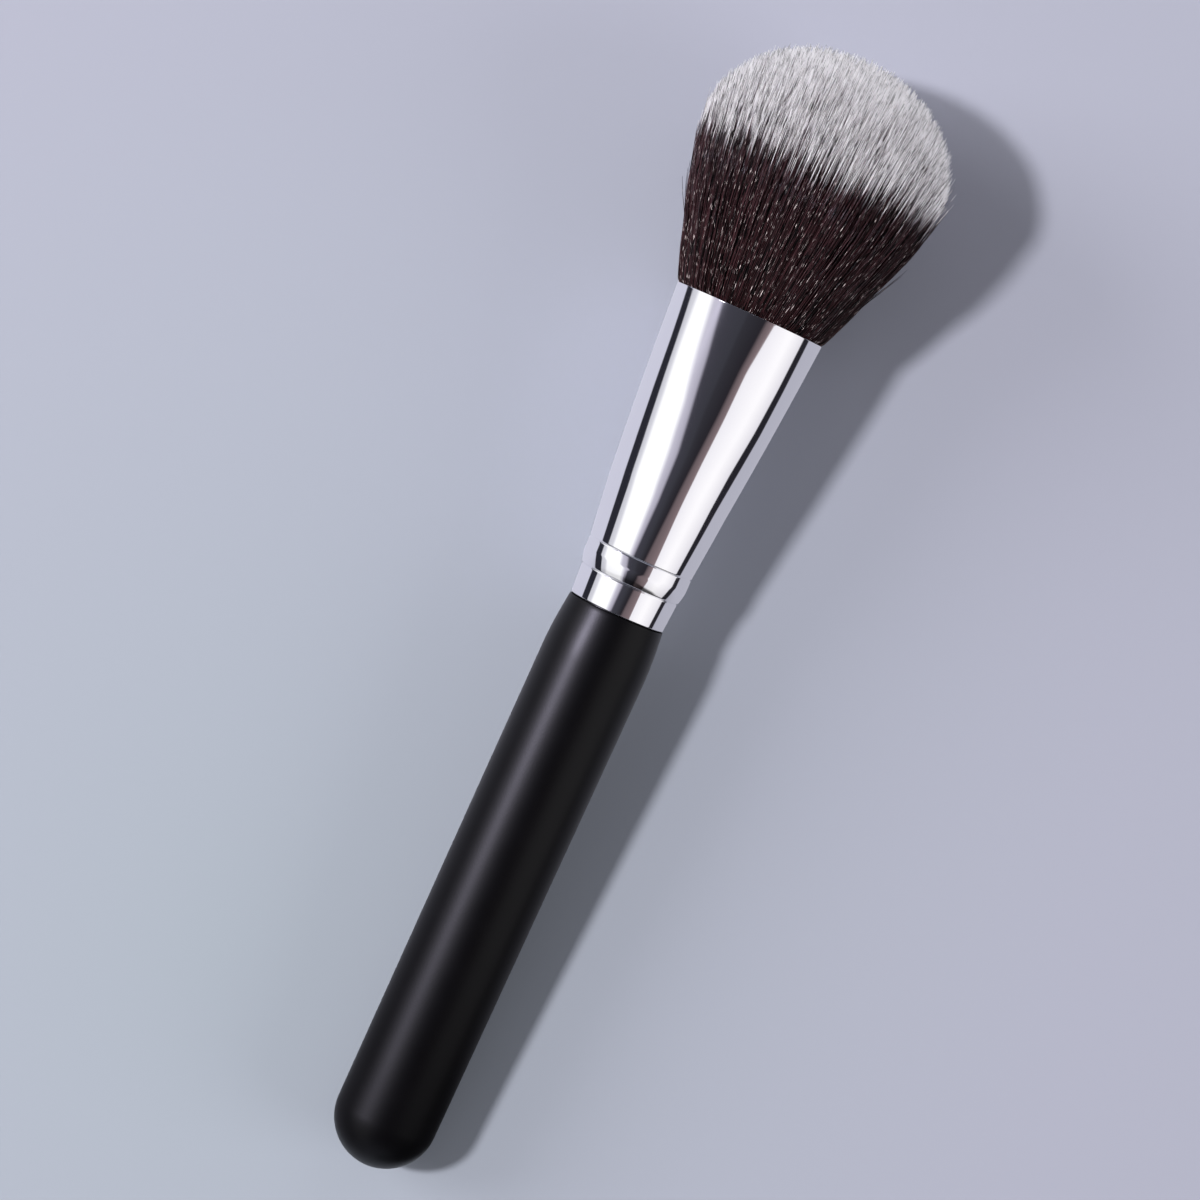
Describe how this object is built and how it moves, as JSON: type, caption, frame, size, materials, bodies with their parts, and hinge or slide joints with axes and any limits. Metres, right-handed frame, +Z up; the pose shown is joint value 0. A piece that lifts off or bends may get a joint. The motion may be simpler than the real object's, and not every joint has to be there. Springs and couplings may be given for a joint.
{
  "type": "blush brush",
  "caption": "Make-up brush with a round black handle, a flared bright metal ferrule and a full domed tuft of two-tone brown and white fibres.",
  "frame": {"origin": "on the table, under the middle of the brush's bounding box, with the brush lying at rest on the butt of its handle and the belly of its tuft", "axes": "+X along the brush from handle to tuft, in the table's plane, and +Z up from the table"},
  "size_m": [0.1802, 0.0384, 0.0378],
  "materials": {
    "black_lacquer": "turned birch under matt black lacquer",
    "polished_metal": "mirror bright",
    "epoxy": "cured clear amber",
    "cotton_thread": "plain twisted thread",
    "outer_fibre": "fine crimped fibre, brown for the lower half and white at the tips",
    "inner_fibre": "fine crimped fibre, of which only the white tips show"
  },
  "bodies": {
    "root": {"handle": "black_lacquer", "ferrule": "polished_metal", "tenon_glue": "epoxy", "root_glue_cup": "epoxy", "binding_thread": "cotton_thread", "fibre_bundle_1": "inner_fibre", "fibre_bundle_2": "inner_fibre", "fibre_bundle_3": "inner_fibre", "fibre_bundle_4": "outer_fibre"}
  },
  "joints": []
}
